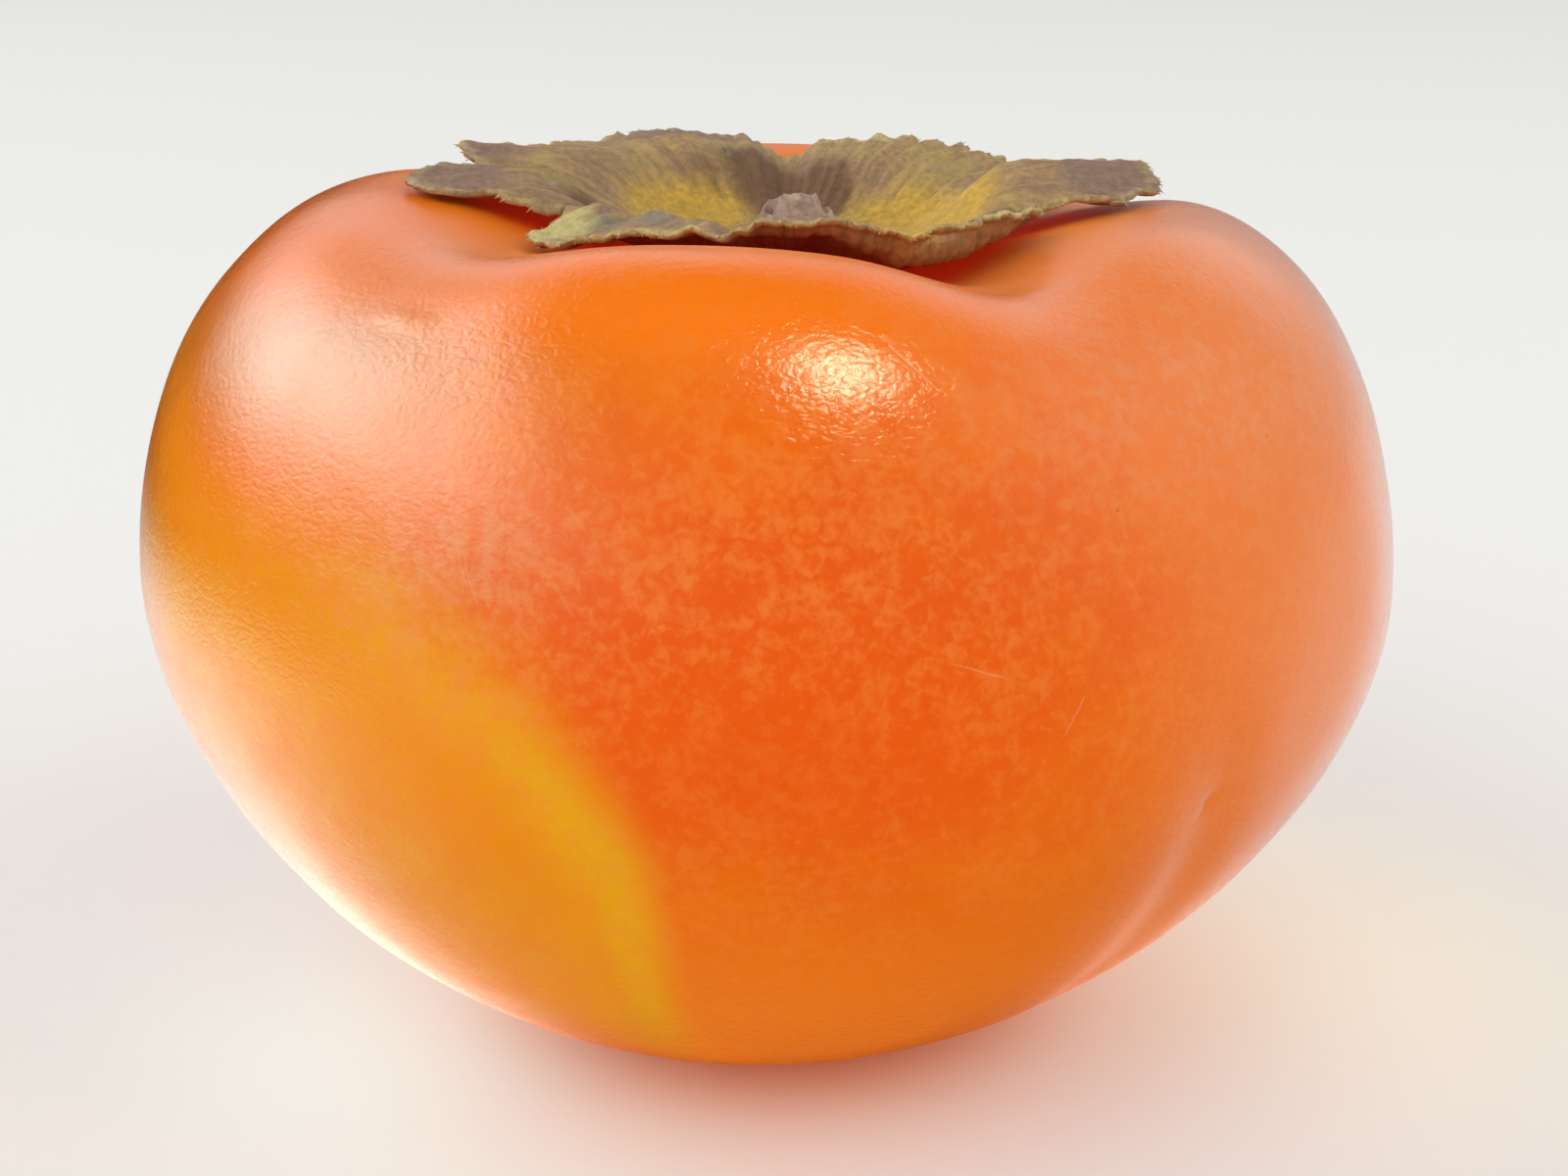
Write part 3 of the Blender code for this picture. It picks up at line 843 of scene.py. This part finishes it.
def calyxMaterial():
    made, board = newMaterial("dryCalyx")
    look = calyxLook
    place = board.place()
    flat = board.vector("MULTIPLY", place, (1.0, 1.0, 0.0))
    around = board.vector("NORMALIZE", flat)
    length = board.vector("LENGTH", flat).out("Value")
    veinPlace = board.add("ShaderNodeCombineXYZ", None, 0.0, 0.0, length * 160)
    veinPlace = board.vector("MULTIPLY_ADD", around, (22.0, 22.0, 0.0), veinPlace)
    veins = board.noise(veinPlace, 1.0, 4.0, 0.65, 0.3)
    fibres = board.noise(veinPlace, 4.0, 3.0, 0.6)
    blotch = board.noise(place, 190.0, 4.0, 0.6)
    grain = board.noise(place, 1900.0, 3.0, 0.6)
    marks = {
        name: board.add("ShaderNodeAttribute", {"attribute_name": name}).out("Fac")
        for name in ("rim", "under", *calyxStainsAndShade)
    }
    torn = (blotch - 0.5) * 0.9 + (veins - 0.5) * 0.6

    def stainedAndShaded(colour, name, strength, sharpness=0.35):  # a stain whose edge follows the fibres; with "dark" it lays painted shade
        share = (marks[name] + torn * sharpness * 2).eased(0.25, 0.75) * marks[name].eased(0.05, 0.3)
        return board.mix(share * strength, colour, look[name])

    colour = board.mix((veins * 0.7 + blotch * 0.5).eased(0.42, 0.78), look["brown"], look["tan"])
    colour = board.mix((blotch + (fibres - 0.5) * 0.6).eased(0.50, 0.66) * 0.55, colour, look["olive"])
    colour = stainedAndShaded(colour, "purple", 0.85)
    colour = stainedAndShaded(colour, "bowl", 0.95, 0.2)
    colour = stainedAndShaded(colour, "cool", 0.7)
    # painted shade in the hollows and under the folds
    colour = stainedAndShaded(colour, "dark", 0.85, 0.6)
    colour = stainedAndShaded(colour, "pale", 0.85)
    edge = marks["rim"] * (0.25 + marks["pale"] * 0.6 + (grain - 0.5) * 0.8).held()
    colour = board.mix(edge, colour, look["margin"])
    colour = board.mix(marks["under"] * 0.9, colour, look["under"])
    colour = board.tint(colour, board.mix(grain.eased(0.3, 0.7), (0.78, 0.76, 0.72), (1.15, 1.12, 1.08)))
    relief = fibres * 0.8 + grain * 0.5 + veins * 0.6
    surface = board.bump(relief, look["fibreHeight"])
    roughness = look["roughness"] + (grain - 0.5) * 0.3 - marks["bowl"] * 0.15
    shade(
        board, baseColor=colour, roughness=roughness, specularIorLevel=0.3, subsurfaceWeight=0.06,
        subsurfaceRadius=(1.0, 0.5, 0.2), subsurfaceScale=0.0006, normal=surface,
    )
    return made


def markCalyx(piece, size):  # the margin, the underside, the stains and the painted shade, as attributes
    data = piece.data
    middle = calyxMiddle()
    rim = data.attributes.new("rim", "FLOAT", "POINT")
    under = data.attributes.new("under", "FLOAT", "POINT")
    rings = []
    for ring in range(size["rings"] + 1):
        share = (ring / size["rings"]) ** size["ringPower"]
        for place in range((size["around"] if ring else 1) * 2):
            rings.append((share, place % 2 == 0))
    for index in range(len(data.vertices)):
        share, lower = rings[index] if index < len(rings) else (1.0, False)
        rim.data[index].value = smoothStep(0.95, 1.0, share)
        under.data[index].value = 1.0 if lower else 0.0
    for name, patches in calyxStainsAndShade.items():
        layer = data.attributes.new(name, "FLOAT", "POINT")
        for index, point in enumerate(data.vertices):
            x, y = point.co.x - middle.x, point.co.y - middle.y
            azimuth = math.degrees(math.atan2(x, -y))
            radius = math.hypot(x, y)
            total = 0.0
            for turn, out, wide, halfLength, strength in patches:
                off = turned(azimuth - turn) / wide
                if abs(off) < 3:
                    total += strength * math.exp(-off * off) * bell(radius - out, halfLength)
            layer.data[index].value = min(1.0, total)


skinTree = BVHTree.FromObject(fruitSkin, bpy.context.evaluated_depsgraph_get())
calyxLeaves = makeCalyx(skinTree, calyxMaterial(), calyxSizes)
markCalyx(calyxLeaves, calyxSizes)
print("calyx laid:", len(calyxLeaves.data.polygons), "faces")


# The frayed fibres along the margin

fringeSizes = {
    "spacing": 0.00020,
    "length": 0.00042,
    "thickness": 0.00006,
    "kept": 0.55,
    "spread": 0.9,
    "seed": 3,
}


def marginLine(size):  # the calyx's outer edge, as a closed line of edges
    mesh = bmesh.new()
    mesh.from_mesh(calyxLeaves.data)
    mesh.verts.ensure_lookup_table()
    spots = [mesh.verts[index - size["around"]].co.copy() for index in range(size["around"])]
    mesh.free()
    data = bpy.data.meshes.new("marginLine")
    links = [(step, (step + 1) % len(spots)) for step in range(len(spots))]
    data.from_pydata(spots, links, [])
    return data


def fringeMaterial():
    made, board = newMaterial("calyxFringe")
    place = board.place()
    blotch = board.noise(place, 260.0, 3.0, 0.6)
    colour = board.mix(blotch.eased(0.35, 0.65), calyxLook["brown"], calyxLook["margin"])
    roughness = 0.75 + (blotch - 0.5) * 0.2
    shade(board, baseColor=colour, roughness=roughness, specularIorLevel=0.25)
    return made


def growFringe(finish):
    tree, board, given = newGrowth("fringeGrowth", {**fringeSizes, "finish": finish})
    line = board.add("GeometryNodeMeshToCurve", None, given["Geometry"])
    line = board.add("GeometryNodeResampleCurve", {"mode": "LENGTH"}, line, length=given["spacing"])
    points = board.add("GeometryNodeCurveToPoints", {"mode": "EVALUATED"}, line)
    fibre = board.add(
        "GeometryNodeMeshCone", {"fill_type": "NGON"}, vertices=4, radiusTop=given["thickness"] * 0.2,
        radiusBottom=given["thickness"], depth=given["length"],
    )
    spot = board.add("GeometryNodeInputPosition")
    outward = board.vector("MULTIPLY", spot, (1.0, 1.0, 0.0))
    outward = board.vector("NORMALIZE", outward)
    stray = board.add(
        "FunctionNodeRandomValue", {"data_type": "FLOAT_VECTOR"}, (-1.0, -1.0, -1.0), (1.0, 1.0, 0.8),
        seed=given["seed"],
    )
    stray = board.vector("SCALE", stray, scale=given["spread"])
    way = board.vector("ADD", outward, stray)
    facing = board.add("FunctionNodeAlignRotationToVector", {"axis": "Z"}, vector=way)
    chance = board.add("FunctionNodeRandomValue", {"data_type": "FLOAT"}, 0.0, 1.0, seed=given["seed"] + 1)
    share = board.add("FunctionNodeRandomValue", {"data_type": "FLOAT"}, 0.3, 1.0, seed=given["seed"] + 2)
    fibres = board.add(
        "GeometryNodeInstanceOnPoints", None, points, chance.calc("LESS_THAN", chance, given["kept"]),
        instance=fibre, rotation=facing, scale=share,
    )
    fibres = board.add("GeometryNodeRealizeInstances", None, fibres)
    fibres = board.add("GeometryNodeSetMaterial", None, fibres, material=given["finish"])
    board.add("NodeGroupOutput", None, fibres)
    return grownMesh("calyxFringe", tree, marginLine(calyxSizes), **fringeSizes, finish=finish)


calyxFringe = growFringe(fringeMaterial())
print("fringe grown:", len(calyxFringe.data.polygons), "faces")


# The stalk's stub and the dried style

stubSizes = {
    "radius": 0.0029,
    "around": 60,
    "rows": 12,
    "domeRings": 13,
    "taper": 0.16,
    "sunk": 0.0002,
    "leastHeight": 0.0008,
    "skirt": 0.0018,
    "lowered": 0.0013,
    "domeHeight": 0.0008,
    "swirl": 13.0,
    "swirlHeight": 0.00055,
}

styleSizes = {
    "around": 40,
    "rows": 8,
    "lobes": 5,
    "lobeDepth": 0.22,
    "taper": 0.78,
}

woodLook = {
    "stub": ((0.50, 0.36, 0.28), (0.24, 0.15, 0.11)),
    "style": ((0.045, 0.028, 0.018), (0.012, 0.008, 0.006)),
    "roughness": 0.8,
    "grainHeight": 0.00006,
}


def woodMaterial(name, pale, dark):
    made, board = newMaterial(name)
    place = board.place()
    grain = board.noise(board.stretched(place, (1500.0, 1500.0, 900.0)), 1.0, 4.0, 0.6, 0.6)
    blotch = board.noise(place, 600.0, 3.0, 0.6)
    colour = board.mix((grain * 0.5 + blotch * 0.7).eased(0.42, 0.78), dark, pale)
    surface = board.bump(grain * 0.6 + blotch * 0.4, woodLook["grainHeight"])
    roughness = woodLook["roughness"] + (blotch - 0.5) * 0.25
    shade(board, baseColor=colour, roughness=roughness, specularIorLevel=0.25, normal=surface)
    return made


def makeStub(leafTree, finish, size):
    low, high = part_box("stem_stub")
    middle = Vector(((low.x + high.x) / 2, (low.y + high.y) / 2, 0.0))
    mesh = bmesh.new()
    rows = []
    for row in range(size["rows"] + 1):
        climb = row / size["rows"]
        points = []
        for step in range(size["around"]):
            turn = 2 * math.pi * step / size["around"]
            way = wayAt(turn)
            ridges = 0.03 * math.sin(5 * turn + 0.6) + 0.04 * noise.noise(way * 4.0)
            flare = size["skirt"] * (1 - smoothStep(0.0, 0.45, climb)) ** 2
            radius = size["radius"] * (1 + ridges) * (1 - size["taper"] * climb) + flare
            radius += 0.00014 * noise.noise(way * 3 + Vector((0.0, 0.0, climb * 3)))
            spot = middle + way * radius
            foot = skinUnder(leafTree, spot.x, spot.y) - size["sunk"]
            slope = 0.0003 * math.sin(turn - 0.6) + 0.0002 * noise.noise(way * 2 + Vector((4.0, 0.0, 0.0)))
            top = max(high.z - size["lowered"] + slope, foot + size["leastHeight"])
            points.append(mesh.verts.new((spot.x, spot.y, foot + (top - foot) * climb)))
        rows.append(points)
    for ring in range(1, size["domeRings"]):  # the healed top, drawn in with a swirl of soft folds
        inward = 1 - ring / size["domeRings"]
        points = []
        for step, above in enumerate(rows[size["rows"]]):
            turn = 2 * math.pi * step / size["around"]
            way = wayAt(turn)
            swirl = math.cos(turn - inward * size["swirl"]) * smoothStep(0.0, 0.3, inward)
            swirl *= size["swirlHeight"] * smoothStep(0.0, 0.25, 1 - inward)
            rough = 0.00010 * noise.noise(way * (5 * inward) + Vector((0.0, 1.7, inward * 4)))
            spot = middle + (above.co - middle) * inward
            level = above.co.z * inward + (high.z - size["lowered"]) * (1 - inward)
            domed = size["domeHeight"] * (1 - inward * inward)
            points.append(mesh.verts.new((spot.x, spot.y, level + domed + swirl + rough)))
        rows.append(points)
    joinRows(mesh, rows)
    return meshFrom("stalkStub", mesh, finish, 50)


def makeStyle(finish, size):  # shrivelled lobes round a blunt point, in the dimple underneath
    low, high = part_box("style_remnant")
    middle = (low + high) / 2
    width = (high.x - low.x) / 2
    mesh = bmesh.new()
    rows = []
    for row in range(size["rows"] + 1):
        share = row / size["rows"]
        points = []
        for step in range(size["around"]):
            turn = 2 * math.pi * step / size["around"]
            across, ahead = math.sin(turn), math.cos(turn)
            lobes = 1 + size["lobeDepth"] * math.cos(size["lobes"] * turn) * (1 - share)
            lobes += 0.10 * noise.noise(Vector((across, ahead, share)) * 2.5)
            radius = width * (1 - size["taper"] * share ** 1.4) * lobes * 0.92
            drop = (high.z - low.z) * share
            corner = (middle.x + radius * across, middle.y - radius * ahead, high.z - drop)
            points.append(mesh.verts.new(corner))
        rows.append(points)
    joinRows(mesh, rows)
    return meshFrom("driedStyle", mesh, finish, 50)


leafTree = BVHTree.FromObject(calyxLeaves, bpy.context.evaluated_depsgraph_get())
stalkStub = makeStub(leafTree, woodMaterial("stubWood", *woodLook["stub"]), stubSizes)
driedStyle = makeStyle(woodMaterial("darkStyle", *woodLook["style"]), styleSizes)
print("stub and style made")


# Floor, light and camera

studio = {
    "floorHalf": 4.0,
    "floor": (0.885, 0.888, 0.873),
    "floorCloud": (0.88, 0.88, 0.87),
    "floorGlow": (0.85, 0.58, 0.40),  # painted shade close to the fruit, tinted warm as by its red bounce light
    "floorRing": (0.88, 0.93, 0.955),  # painted counter-tint further out, against the red light the fruit bounces onto the floor
    # painted light: the floor glows beside the fruit to lighten its shadow
    "leftLift": (0.06, 0.15, 0.15),
    "rightLift": (0.15, 0.13, 0.04),
    "nearMirror": (0.55, 0.17, 0.05),  # painted reflection: the orange that the gloss sees on the floor beside the fruit
    "sky": (1.0, 0.995, 0.985),
    "backdrop": (0.88, 0.87, 0.84),
    "glossTint": (1.0, 0.96, 0.97),
    "windowGlow": 9.4,  # the window, the right side and the rest, in the gloss only
    "rightGlow": 0.70,
    "restGlow": 0.005,
    "overhead": 0.45,
    "around": 0.66,  # more light from low down all round, as in a light tent
    "leftSide": 0.35,
    "paneTint": (1.0, 0.86, 0.55),
    "paneDistance": 0.6,
    "panes": (  # azimuth, rise, size and watts, for the gloss only
        ("windowPane1", 33.5, 62.0, (0.10, 0.13), 1.9),
        ("windowPane2", 48.0, 64.5, (0.10, 0.11), 0.75),
    ),
    "panelTint": (1.0, 0.99, 0.97),
    "panels": (  # azimuth, rise, distance, size and watts, for all but the gloss
        ("mainLight", -110.0, 36.0, 1.6, (1.1, 0.9), 3.0),
        ("fillLight", -38.0, 42.0, 1.2, (0.8, 0.7), 2.0),
        ("sideLight", 75.0, 38.0, 1.2, (0.8, 0.7), 1.9),
        ("lowLight", -8.0, 6.0, 1.2, (1.2, 0.25), 1.5),
    ),
}

shot = {
    "aim": Vector((0.0, 0.0, 0.0280)),
    "distance": 0.168,
    "elevation": 17.4,
    "lens": 56.8,
    "shift": (0.0069, 0.0104),
}


def floorMaterial():
    made, board = newMaterial("paleFloor")
    place = board.place()
    cloud = board.noise(place, 9.0, 3.0, 0.5)
    colour = board.mix(cloud * 0.25, studio["floor"], studio["floorCloud"])
    axes = board.axes(place)
    azimuth = azimuthOf(axes)
    out = board.vector("LENGTH", place).out("Value") * 1000
    # painted counter-tint against the fruit's red bounce light, in a ring further out
    colour = board.mix(out.bell(36.0, 18.0), colour, studio["floorRing"])
    # painted light: the floor glows left and right of the fruit to lighten the shadow
    leftArea = azimuth.bell(-62.0, 42.0) * out.bell(29.0, 14.0)
    rightArea = azimuth.bell(96.0, 38.0) * out.bell(43.0, 18.0)
    lift = board.mix(leftArea, (0.0, 0.0, 0.0), studio["leftLift"])
    lift = board.plus(rightArea, lift, studio["rightLift"])
    # painted shade close to the fruit, tinted warm as by its red bounce light
    colour = board.mix((1 - out.eased(11.0, 23.0)) * 0.85, colour, studio["floorGlow"])
    # for the gloss only, the floor carries a painted reflection of the room: bright to the left and right,
    # dim in front
    left = azimuth.bell(-86.0, 32.0) * 2.1 + (-azimuth).eased(100.0, 130.0) * 0.6
    left = left * (1 - out.eased(105.0, 240.0))
    right = azimuth.eased(40.0, 100.0) * 0.95
    bright = 0.02 + (left + right) * (1 - azimuth.calc("ABSOLUTE", azimuth).eased(130.0, 178.0) * 0.6)
    mirrored = board.add("ShaderNodeCombineColor", None, bright, bright, bright)
    mirrored = board.plus(1 - out.eased(26.0, 48.0), mirrored, studio["nearMirror"])
    gloss = board.add("ShaderNodeLightPath").out("Is Glossy Ray")
    colour = board.mix(gloss, colour, mirrored)
    lift = board.mix(gloss, lift, (0.0, 0.0, 0.0))
    shade(
        board, baseColor=colour, roughness=0.9, specularIorLevel=0.0, emissionColor=lift,
        emissionStrength=1.0,
    )
    return made


def makeFloor():
    mesh = bmesh.new()
    bmesh.ops.create_grid(mesh, x_segments=8, y_segments=8, size=studio["floorHalf"])
    data = bpy.data.meshes.new("floor")
    mesh.to_mesh(data)
    mesh.free()
    data.materials.append(floorMaterial())
    floor = addObject("floor", data)


def makeRoom():  # even daylight, with a window on the left that only the gloss picks up
    world = bpy.data.worlds.new("room")
    bpy.context.scene.world = world
    world.use_nodes = True
    world.node_tree.nodes.clear()
    world.cycles.sampling_method = "NONE"
    board = Board(world.node_tree)
    way = board.add("ShaderNodeTexCoord").out("Generated")
    axes = board.axes(way)
    azimuth = azimuthOf(axes)
    rise = axes.calc("ARCSINE", axes.out("Z")) * (180 / math.pi)
    fromLeft = (azimuth + 95.0).wrapped()
    window = azimuth.eased(-152.0, -101.0) * (1 - (azimuth + (rise - 28.0) * 0.7).eased(-84.0, -26.0))
    window = window * rise.eased(4.0, 34.0) * (1 - rise.eased(43.0, 58.0))
    right = azimuth.eased(38.0, 95.0) * (1 - azimuth.eased(140.0, 175.0) * 0.6)
    right = right * (1 - rise.eased(40.0, 70.0))
    behind = (-azimuth).eased(120.0, 150.0) + azimuth.eased(120.0, 150.0) * 0.5
    behind = behind * rise.eased(5.0, 25.0) * (1 - rise.eased(35.0, 60.0))
    glow = window * studio["windowGlow"] + right * studio["rightGlow"] + behind + studio["restGlow"]
    path = board.add("ShaderNodeLightPath")
    gloss = board.add("ShaderNodeBackground", None, studio["glossTint"], glow)
    low = 1 - rise.eased(15.0, 65.0)
    side = low * fromLeft.bell(0.0, 70.0)
    soft = studio["overhead"] + low * studio["around"] + side * studio["leftSide"]
    plain = board.add("ShaderNodeBackground", None, studio["sky"], soft)
    seen = board.add("ShaderNodeBackground", None, studio["backdrop"], 1.0)
    both = board.add("ShaderNodeMixShader", None, path.out("Is Glossy Ray"), plain, gloss)
    both = board.add("ShaderNodeMixShader", None, path.out("Is Camera Ray"), both, seen)
    board.add("ShaderNodeOutputWorld", None, surface=both)


def makePanel(name, azimuth, rise, distance, size, energy, colour):
    lamp = bpy.data.lights.new(name, "AREA")
    lamp.shape = "RECTANGLE"
    lamp.size, lamp.size_y = size
    lamp.energy = energy
    lamp.color = colour
    panel = addObject(name, lamp)
    way = wayAt(math.radians(azimuth), math.radians(rise))
    panel.location = shot["aim"] + way * distance
    panel.rotation_euler = way.to_track_quat("Z", "Y").to_euler()
    return panel


def makeLights():
    for name, azimuth, rise, size, energy in studio["panes"]:
        pane = makePanel(name, azimuth, rise, studio["paneDistance"], size, energy, studio["paneTint"])
        pane.visible_diffuse = False
    for name, azimuth, rise, distance, size, energy in studio["panels"]:
        panel = makePanel(name, azimuth, rise, distance, size, energy, studio["panelTint"])
        panel.visible_glossy = False


def makeCamera():
    data = bpy.data.cameras.new("camera")
    data.sensor_width = 36.0
    data.lens = shot["lens"]
    data.shift_x, data.shift_y = shot["shift"]
    data.clip_start = 0.001
    camera = addObject("camera", data)
    tilt = math.radians(shot["elevation"])
    camera.location = shot["aim"] + wayAt(0.0, tilt) * shot["distance"]
    camera.rotation_euler = (math.pi / 2 - tilt, 0.0, 0.0)
    bpy.context.scene.camera = camera


makeFloor()
makeRoom()
makeLights()
makeCamera()
bpy.context.scene.view_settings.view_transform = "Standard"
print("studio ready")


# Which piece moves with what

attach(fruitSkin, "root")
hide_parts("fruit")
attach(calyxLeaves, "root")
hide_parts("calyx")
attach(calyxFringe, "root")
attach(stalkStub, "root")
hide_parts("stem_stub")
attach(driedStyle, "root")
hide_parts("style_remnant")
